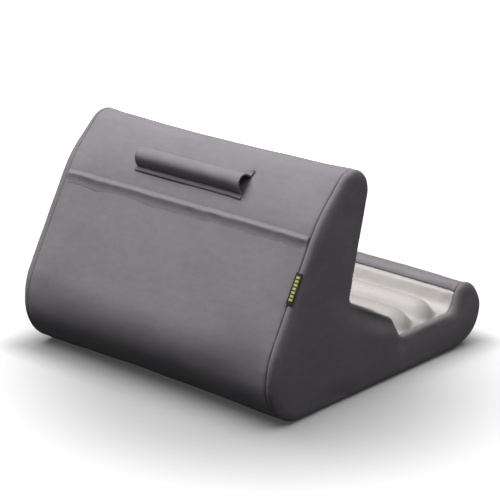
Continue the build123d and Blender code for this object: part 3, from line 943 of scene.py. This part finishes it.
# ------------------------------------------------------------------ foam blocks inside
def foam(name, node, voxel, grow=0.0):
    """The foam block: the CAD solid remeshed and eased, so its edges are cut foam and not machined corners."""
    src = NODES[node]
    me = src.data.copy()
    o = bpy.data.objects.new(name, me)
    bpy.context.scene.collection.objects.link(o)
    me.materials.clear()
    r = o.modifiers.new("remesh", "REMESH")
    r.mode, r.voxel_size = "VOXEL", voxel * MM
    s = o.modifiers.new("ease", "SMOOTH")
    s.factor, s.iterations = 0.5, 3
    dg = bpy.context.evaluated_depsgraph_get()
    done = bpy.data.meshes.new_from_object(o.evaluated_get(dg))
    o.modifiers.clear()
    o.data = done
    done.name = name
    n = len(done.vertices)
    co = np.zeros(n * 3, np.float32)
    done.vertices.foreach_get("co", co)
    nor = np.zeros(n * 3, np.float32)
    done.vertices.foreach_get("normal", nor)
    co, nor = co.reshape(-1, 3).astype(float), nor.reshape(-1, 3).astype(float)
    co -= nor * (0.25 * MM)
    done.vertices.foreach_set("co", co.astype(np.float32).ravel())
    done.polygons.foreach_set("use_smooth", np.ones(len(done.polygons), bool))
    done.update()
    return o


foams = [foam("foam_base_block", "base_foam", 4.0), foam("foam_wedge_block", "wedge_foam", 4.0),
         foam("foam_lip_bolster", "lip_foam", 3.5), foam("foam_tray_rolls", "tray_ridge_foam", 2.5)]


# ------------------------------------------------------------------ materials
def nodes_of(name):
    m = bpy.data.materials.new(name)
    m.use_nodes = True
    nt = m.node_tree
    nt.nodes.clear()
    out = nt.nodes.new("ShaderNodeOutputMaterial")
    b = nt.nodes.new("ShaderNodeBsdfPrincipled")
    nt.links.new(b.outputs["BSDF"], out.inputs["Surface"])
    return m, nt, b


def N(nt, kind, **kw):
    n = nt.nodes.new(kind)
    for k, v in kw.items():
        if hasattr(n, k):
            setattr(n, k, v)
    return n


def link(nt, a, b):
    nt.links.new(a, b)


def math_node(nt, op, a, b=None, clamp=False):
    n = nt.nodes.new("ShaderNodeMath")
    n.operation = op
    n.use_clamp = clamp
    for i, v in enumerate((a, b)):
        if v is None:
            continue
        if isinstance(v, (int, float)):
            n.inputs[i].default_value = v
        else:
            nt.links.new(v, n.inputs[i])
    return n.outputs[0]


def noise(nt, vec, scale, detail=2.0, rough=0.5):
    n = nt.nodes.new("ShaderNodeTexNoise")
    n.inputs["Scale"].default_value = scale
    n.inputs["Detail"].default_value = detail
    n.inputs["Roughness"].default_value = rough
    nt.links.new(vec, n.inputs["Vector"])
    return n.outputs["Fac"]


def mix_rgb(nt, fac, a, b):
    n = nt.nodes.new("ShaderNodeMix")
    n.data_type = "RGBA"
    for sock, v in ((n.inputs["Factor"], fac), (n.inputs["A"], a), (n.inputs["B"], b)):
        if isinstance(v, (int, float)):
            sock.default_value = v
        elif isinstance(v, (tuple, list)):
            sock.default_value = (*v, 1.0) if len(v) == 3 else v
        else:
            nt.links.new(v, sock)
    return n.outputs["Result"]


def ramp(nt, fac, lo, hi):
    n = nt.nodes.new("ShaderNodeMapRange")
    n.inputs["From Min"].default_value = lo
    n.inputs["From Max"].default_value = hi
    n.clamp = True
    nt.links.new(fac, n.inputs["Value"])
    return n.outputs["Result"]


def weave(nt, uv, pitch, warp=0.12):
    """Height of a plain weave with threads pitch mm apart, from the cloth's own coordinates."""
    def threads(axis, vec):
        w = nt.nodes.new("ShaderNodeTexWave")
        w.wave_type = "BANDS"
        w.bands_direction = axis
        w.inputs["Scale"].default_value = 2 * math.pi / 20 / pitch * 1.0
        w.inputs["Distortion"].default_value = warp
        w.inputs["Detail"].default_value = 1.0
        w.inputs["Detail Scale"].default_value = 0.4
        nt.links.new(vec, w.inputs["Vector"])
        return w.outputs["Fac"]
    return math_node(nt, "MULTIPLY", threads("X", uv), threads("Y", uv))


def fabric(name, dark, light, rough=0.92, sheen=0.25, pitch=0.9, weave_bump=0.25, nap_bump=0.25, mottle=0.06, tint=(1, 1, 1), spec=0.2, fleck=0.10):
    m, nt, b = nodes_of(name)
    tc = nt.nodes.new("ShaderNodeTexCoord")
    uv = nt.nodes.new("ShaderNodeUVMap")
    uv.uv_map = "cloth"
    obj = tc.outputs["Object"]
    big = noise(nt, obj, 16.0, 3.0, 0.55)
    mid = noise(nt, obj, 160.0, 3.0, 0.6)
    fine = noise(nt, obj, 1500.0, 2.0, 0.6)
    w = weave(nt, uv.outputs["UV"], pitch)
    # brushed marks: the nap lies a little differently in patches
    mp = nt.nodes.new("ShaderNodeMapping")
    mp.inputs["Scale"].default_value = (1.0, 3.0, 1.0)
    nt.links.new(uv.outputs["UV"], mp.inputs["Vector"])
    brush = noise(nt, mp.outputs["Vector"], 0.07, 3.0, 0.6)
    f = math_node(nt, "ADD", math_node(nt, "MULTIPLY", ramp(nt, big, 0.3, 0.7), 0.35), math_node(nt, "MULTIPLY", ramp(nt, brush, 0.3, 0.7), 0.25))
    f = math_node(nt, "ADD", f, math_node(nt, "MULTIPLY", ramp(nt, mid, 0.25, 0.75), 0.25))
    f = math_node(nt, "ADD", f, math_node(nt, "MULTIPLY", w, 0.15), True)
    col = mix_rgb(nt, f, dark, light)
    fl = ramp(nt, fine, 0.30, 0.72)
    col = mix_rgb(nt, math_node(nt, "MULTIPLY", fl, fleck), col, tuple(min(1, c * 1.35) for c in light))
    nt.links.new(col, b.inputs["Base Color"])
    r = nt.nodes.new("ShaderNodeMapRange")
    r.inputs["To Min"].default_value, r.inputs["To Max"].default_value = rough - 0.06, min(1.0, rough + 0.05)
    nt.links.new(mid, r.inputs["Value"])
    nt.links.new(r.outputs["Result"], b.inputs["Roughness"])
    b.inputs["Sheen Weight"].default_value = sheen
    b.inputs["Sheen Roughness"].default_value = 0.45
    b.inputs["Sheen Tint"].default_value = (*tint, 1.0)
    b.inputs["Specular IOR Level"].default_value = spec
    b1 = nt.nodes.new("ShaderNodeBump")
    b1.inputs["Strength"].default_value = weave_bump
    b1.inputs["Distance"].default_value = 0.00035
    nt.links.new(w, b1.inputs["Height"])
    b2 = nt.nodes.new("ShaderNodeBump")
    b2.inputs["Strength"].default_value = nap_bump
    b2.inputs["Distance"].default_value = 0.0006
    nt.links.new(math_node(nt, "ADD", math_node(nt, "MULTIPLY", fine, 0.5), mid), b2.inputs["Height"])
    nt.links.new(b1.outputs["Normal"], b2.inputs["Normal"])
    nt.links.new(b2.outputs["Normal"], b.inputs["Normal"])
    return m


def plain(name, color, rough, metallic=0.0, scale=900.0, bump=0.15, vary=0.12, spec=0.5):
    m, nt, b = nodes_of(name)
    tc = nt.nodes.new("ShaderNodeTexCoord")
    n1 = noise(nt, tc.outputs["Object"], scale, 3.0, 0.6)
    n2 = noise(nt, tc.outputs["Object"], scale * 0.06, 3.0, 0.6)
    col = mix_rgb(nt, ramp(nt, n2, 0.3, 0.7), tuple(c * (1 - vary) for c in color), tuple(min(1, c * (1 + vary)) for c in color))
    nt.links.new(col, b.inputs["Base Color"])
    b.inputs["Metallic"].default_value = metallic
    r = nt.nodes.new("ShaderNodeMapRange")
    r.inputs["To Min"].default_value, r.inputs["To Max"].default_value = max(0.05, rough - 0.08), min(1, rough + 0.08)
    nt.links.new(n1, r.inputs["Value"])
    nt.links.new(r.outputs["Result"], b.inputs["Roughness"])
    b.inputs["Specular IOR Level"].default_value = spec
    bp = nt.nodes.new("ShaderNodeBump")
    bp.inputs["Strength"].default_value = bump
    bp.inputs["Distance"].default_value = 0.0002
    nt.links.new(n1, bp.inputs["Height"])
    nt.links.new(bp.outputs["Normal"], b.inputs["Normal"])
    return m


def foam_material(name, color):
    m, nt, b = nodes_of(name)
    tc = nt.nodes.new("ShaderNodeTexCoord")
    v = nt.nodes.new("ShaderNodeTexVoronoi")
    v.inputs["Scale"].default_value = 900.0
    nt.links.new(tc.outputs["Object"], v.inputs["Vector"])
    n = noise(nt, tc.outputs["Object"], 60.0, 3.0)
    col = mix_rgb(nt, ramp(nt, v.outputs["Distance"], 0.1, 0.7), tuple(c * 0.8 for c in color), color)
    col = mix_rgb(nt, math_node(nt, "MULTIPLY", n, 0.25), col, tuple(c * 0.85 for c in color))
    nt.links.new(col, b.inputs["Base Color"])
    b.inputs["Roughness"].default_value = 0.95
    bp = nt.nodes.new("ShaderNodeBump")
    bp.inputs["Strength"].default_value = 0.6
    bp.inputs["Distance"].default_value = 0.0005
    nt.links.new(v.outputs["Distance"], bp.inputs["Height"])
    nt.links.new(bp.outputs["Normal"], b.inputs["Normal"])
    return m


def label_material():
    """Black satin ribbon with a plain row of lime blocks."""
    m, nt, b = nodes_of("label_ribbon")
    uv = nt.nodes.new("ShaderNodeUVMap")
    uv.uv_map = "cloth"
    sep = nt.nodes.new("ShaderNodeSeparateXYZ")
    nt.links.new(uv.outputs["UV"], sep.inputs["Vector"])
    u, v = sep.outputs["X"], sep.outputs["Y"]
    pitch = 2.9
    ph = math_node(nt, "FRACT", math_node(nt, "ADD", math_node(nt, "DIVIDE", u, pitch), 0.5 + 40))
    in_u = math_node(nt, "LESS_THAN", math_node(nt, "ABSOLUTE", math_node(nt, "SUBTRACT", ph, 0.5)), 0.31)
    in_len = math_node(nt, "LESS_THAN", math_node(nt, "ABSOLUTE", u), 10.15)
    in_v = math_node(nt, "LESS_THAN", math_node(nt, "ABSOLUTE", math_node(nt, "SUBTRACT", v, 3.3)), 1.55)
    mask = math_node(nt, "MULTIPLY", math_node(nt, "MULTIPLY", in_u, in_len), in_v)
    th = nt.nodes.new("ShaderNodeTexWave")
    th.bands_direction = "Y"
    th.inputs["Scale"].default_value = 2 * math.pi / 20 / 0.35
    nt.links.new(uv.outputs["UV"], th.inputs["Vector"])
    thread = th.outputs["Fac"]
    black = mix_rgb(nt, thread, (0.006, 0.006, 0.006), (0.018, 0.018, 0.018))
    lime = mix_rgb(nt, thread, (0.47, 0.53, 0.09), (0.53, 0.59, 0.12))
    nt.links.new(mix_rgb(nt, mask, black, lime), b.inputs["Base Color"])
    b.inputs["Roughness"].default_value = 0.55
    b.inputs["Sheen Weight"].default_value = 0.15
    bp = nt.nodes.new("ShaderNodeBump")
    bp.inputs["Strength"].default_value = 0.2
    bp.inputs["Distance"].default_value = 0.00015
    nt.links.new(math_node(nt, "ADD", math_node(nt, "MULTIPLY", thread, 0.4), mask), bp.inputs["Height"])
    nt.links.new(bp.outputs["Normal"], b.inputs["Normal"])
    return m


GREY_D, GREY_L = (0.205, 0.190, 0.205), (0.285, 0.266, 0.284)
M_cover = fabric("suede_cover", GREY_D, GREY_L, 0.93, 0.18, 0.9, 0.22, 0.22)
M_pocket = fabric("suede_pocket", tuple(c * 0.97 for c in GREY_D), tuple(c * 0.97 for c in GREY_L), 0.93, 0.18, 0.9, 0.22, 0.22)
M_sleeve = fabric("suede_sleeve", tuple(c * 0.95 for c in GREY_D), tuple(c * 0.97 for c in GREY_L), 0.93, 0.2, 0.9, 0.22, 0.22)
# painted shade: the side panels are the cover's own grey suede, darkened to nine tenths for the shade that falls on
# the sides
M_side_shaded = fabric("suede_side_painted_shade", tuple(c * 0.90 for c in GREY_D), tuple(c * 0.90 for c in GREY_L), 0.94, 0.15, 0.9, 0.22, 0.22)
# the lining's own light warm grey, dimmed throughout as painted shade for the shadow of a tablet standing in the tray
M_tray_shaded = fabric("satin_lining_painted_shade", (0.455, 0.43, 0.415), (0.56, 0.53, 0.513), 0.5, 0.15, 0.5, 0.12, 0.12, spec=0.4, fleck=0.05)
M_base = fabric("base_weave", (0.030, 0.030, 0.032), (0.060, 0.060, 0.064), 0.9, 0.1, 1.4, 0.6, 0.2)
M_tape = fabric("tape_weave", (0.025, 0.025, 0.028), (0.055, 0.055, 0.06), 0.85, 0.1, 0.7, 0.7, 0.15)
M_foam = foam_material("open_cell_foam", (0.78, 0.75, 0.62))
M_foam2 = foam_material("soft_foam", (0.84, 0.83, 0.76))
M_label = label_material()
M_teeth = plain("nylon_teeth", (0.035, 0.035, 0.04), 0.45)
M_metal = plain("slider_enamel", (0.10, 0.10, 0.11), 0.35, 0.6, bump=0.08)
M_dots = plain("silicone_dots", (0.02, 0.02, 0.022), 0.6, 0.0, 700.0, 0.2)


def dress(o, mat, slot, body, *nodes):
    o.data.materials.clear()
    o.data.materials.append(mat)
    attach(o, body)
    if nodes:
        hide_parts(*nodes)


dress(back, M_cover, "cover_grey", "stand", "back_panel")
dress(pocket, M_pocket, "pocket_grey", "stand", "pocket_panel")
dress(hem, M_pocket, "pocket_grey", "stand", "pocket_hem")
dress(tray_top, M_tray_shaded, "tray_lining", "stand", "tray_panel")
dress(lip_top, M_cover, "cover_grey", "stand", "lip_panel")
dress(base_cloth, M_base, "base_cloth", "stand", "base_panel")
dress(base_rear, M_base, "base_cloth", "stand", "base_rear_panel")
dress(side_right, M_side_shaded, "side_grey", "stand", "right_side_panel")
dress(side_left, M_side_shaded, "side_grey", "stand", "left_side_panel")
dress(sleeve_o, M_sleeve, "sleeve_grey", "stand", "stylus_sleeve")
dress(label_o, M_label, "label_black", "label", "woven_label")
dress(tape_f, M_tape, "zip_tape", "stand", "zip_tape_front")
dress(tape_r, M_tape, "zip_tape", "stand", "zip_tape_rear")
for o, node, mat in zip(foams, ("base_foam", "wedge_foam", "lip_foam", "tray_ridge_foam"), (M_foam, M_foam, M_foam2, M_foam2)):
    dress(o, mat, "foam" if mat is M_foam else "foam_soft", "stand", node)
for node, mat in (("zip_teeth_front", M_teeth), ("zip_teeth_rear", M_teeth), ("zip_end_stops", M_metal),
                  ("zip_slider", M_metal), ("zip_pull_tab", M_metal), ("grip_dots", M_dots)):
    o = NODES[node]
    for i in range(max(1, len(o.data.materials))):
        if len(o.data.materials) <= i:
            o.data.materials.append(mat)
        else:
            o.data.materials[i] = mat

# ------------------------------------------------------------------ floor, light, camera
def floor():
    me = bpy.data.meshes.new("studio_floor")
    r = 6.0
    me.from_pydata([(-r, -r, 0), (r, -r, 0), (r, r, 0), (-r, r, 0)], [], [(0, 1, 2, 3)])
    o = bpy.data.objects.new("studio_floor", me)
    bpy.context.scene.collection.objects.link(o)
    m, nt, b = nodes_of("studio_floor")
    b.inputs["Roughness"].default_value = 0.9
    b.inputs["Specular IOR Level"].default_value = 0.1
    lp = nt.nodes.new("ShaderNodeLightPath")
    col = mix_rgb(nt, lp.outputs["Is Camera Ray"], (0.08, 0.08, 0.081), (0.50, 0.50, 0.502))
    nt.links.new(col, b.inputs["Base Color"])
    # painted light and shade: the sweep glows for the camera, brighter away from the stand, which paints a soft shadow
    # round it
    tc = nt.nodes.new("ShaderNodeTexCoord")
    ln = nt.nodes.new("ShaderNodeVectorMath")
    ln.operation = "DISTANCE"
    ln.inputs[1].default_value = (-0.06, 0.06, 0.0)
    nt.links.new(tc.outputs["Object"], ln.inputs[0])

    def painted_floor_glow(near, far):
        g = nt.nodes.new("ShaderNodeMapRange")
        g.interpolation_type = "SMOOTHSTEP"
        g.inputs["From Min"].default_value, g.inputs["From Max"].default_value = near, far
        nt.links.new(ln.outputs["Value"], g.inputs["Value"])
        return math_node(nt, "MULTIPLY", g.outputs["Result"], 0.5)

    ab = nt.nodes.new("ShaderNodeVectorMath")
    ab.operation = "ABSOLUTE"
    nt.links.new(tc.outputs["Object"], ab.inputs[0])
    off = nt.nodes.new("ShaderNodeVectorMath")
    off.operation = "SUBTRACT"
    off.inputs[1].default_value = (0.134, 0.1335, 0.0)
    nt.links.new(ab.outputs["Vector"], off.inputs[0])
    out = nt.nodes.new("ShaderNodeVectorMath")
    out.operation = "MAXIMUM"
    out.inputs[1].default_value = (0.0, 0.0, 0.0)
    nt.links.new(off.outputs["Vector"], out.inputs[0])
    d = nt.nodes.new("ShaderNodeVectorMath")
    d.operation = "LENGTH"
    nt.links.new(out.outputs["Vector"], d.inputs[0])
    # painted shadow: the near glow is held off within 25 mm of the stand's footprint, so the floor stays darker round
    # it
    clear = ramp(nt, d.outputs["Value"], 0.0, 0.025)
    e = math_node(nt, "ADD", math_node(nt, "MULTIPLY", painted_floor_glow(0.10, 0.26), clear), painted_floor_glow(0.25, 0.9))
    # painted light: a faint 0.05 glow over the whole floor lightens the contact shadows; only camera rays see any of
    # the glow
    e = math_node(nt, "MULTIPLY", math_node(nt, "ADD", e, 0.05), lp.outputs["Is Camera Ray"])
    # seen from below the floor is clear, so the underside can be looked at
    geo = nt.nodes.new("ShaderNodeNewGeometry")
    clearp = nt.nodes.new("ShaderNodeBsdfTransparent")
    both = nt.nodes.new("ShaderNodeMixShader")
    outn = next(n for n in nt.nodes if n.type == "OUTPUT_MATERIAL")
    nt.links.new(geo.outputs["Backfacing"], both.inputs["Fac"])
    nt.links.new(b.outputs["BSDF"], both.inputs[1])
    nt.links.new(clearp.outputs["BSDF"], both.inputs[2])
    nt.links.new(both.outputs["Shader"], outn.inputs["Surface"])
    b.inputs["Emission Color"].default_value = (1, 1, 1, 1)
    nt.links.new(e, b.inputs["Emission Strength"])
    me.materials.append(m)
    return o


floor()

world = bpy.data.worlds.new("studio")
bpy.context.scene.world = world
world.use_nodes = True
wn = world.node_tree
wn.nodes.clear()
wo = wn.nodes.new("ShaderNodeOutputWorld")
bg1, bg2 = wn.nodes.new("ShaderNodeBackground"), wn.nodes.new("ShaderNodeBackground")
lp = wn.nodes.new("ShaderNodeLightPath")
mx = wn.nodes.new("ShaderNodeMixShader")
bg1.inputs["Color"].default_value = (0.95, 0.96, 1.0, 1)
bg1.inputs["Strength"].default_value = 0.055
bg2.inputs["Color"].default_value = (1, 1, 1, 1)
bg2.inputs["Strength"].default_value = 1.0
wn.links.new(lp.outputs["Is Camera Ray"], mx.inputs["Fac"])
wn.links.new(bg1.outputs["Background"], mx.inputs[1])
wn.links.new(bg2.outputs["Background"], mx.inputs[2])
wn.links.new(mx.outputs["Shader"], wo.inputs["Surface"])


def area(name, loc, aim, size, power, color=(1, 1, 1)):
    li = bpy.data.lights.new(name, "AREA")
    li.shape, li.size = "SQUARE", size
    li.energy, li.color = power, color
    o = bpy.data.objects.new(name, li)
    bpy.context.scene.collection.objects.link(o)
    o.location = loc
    o.rotation_mode = "QUATERNION"
    o.rotation_quaternion = (Vector(aim) - Vector(loc)).to_track_quat("-Z", "Y")
    return o


def collect(name, objects):
    c = bpy.data.collections.new(name)
    bpy.context.scene.collection.children.link(c)
    for o in objects:
        if o.name not in c.objects:
            c.objects.link(o)
    return c


pieces = [o for o in bpy.context.scene.objects if o.type == "MESH" and o.name != "studio_floor"]
stand_set = collect("lit_stand", pieces)
floor_set = collect("lit_floor", [bpy.data.objects["studio_floor"]])
under_names = ("base_cloth", "base_rear_cloth", "zip_tape_front_cloth", "zip_tape_rear_cloth", "zip_teeth_front",
               "zip_teeth_rear", "zip_end_stops", "zip_slider", "zip_pull_tab", "grip_dots")
under_set = collect("lit_underside", [bpy.data.objects[n] for n in under_names])
area("key", (0.34, 0.38, 1.56), (0, 0, 0.08), 1.0, 33.5).light_linking.receiver_collection = stand_set
area("fill", (-1.15, -0.25, 1.45), (0, 0, 0.08), 0.8, 7.0).light_linking.receiver_collection = stand_set
area("sweep", (0.05, 0.05, 1.25), (0, 0, 0), 2.2, 37.0).light_linking.receiver_collection = floor_set
below = area("below", (0.0, 0.1, -0.9), (0, 0, 0), 1.0, 14.0)
below.light_linking.receiver_collection = under_set
below.light_linking.blocker_collection = stand_set

cam_data = bpy.data.cameras.new("camera")
cam_data.sensor_width = 36.0
cam_data.lens = 2013.4 / 500 * 36
cam = bpy.data.objects.new("camera", cam_data)
bpy.context.scene.collection.objects.link(cam)
R, U, B = (-0.75420, -0.65645, 0.01576), (0.22326, -0.23378, 0.94631), (-0.61753, 0.71723, 0.32287)
C = (-1.0166, 1.1855, 0.6144)
cam.matrix_world = Matrix(((R[0], U[0], B[0], C[0]), (R[1], U[1], B[1], C[1]), (R[2], U[2], B[2], C[2]), (0, 0, 0, 1)))
cam_data.clip_start, cam_data.clip_end = 0.05, 30.0
bpy.context.scene.camera = cam
bpy.context.scene.view_settings.view_transform = "Standard"
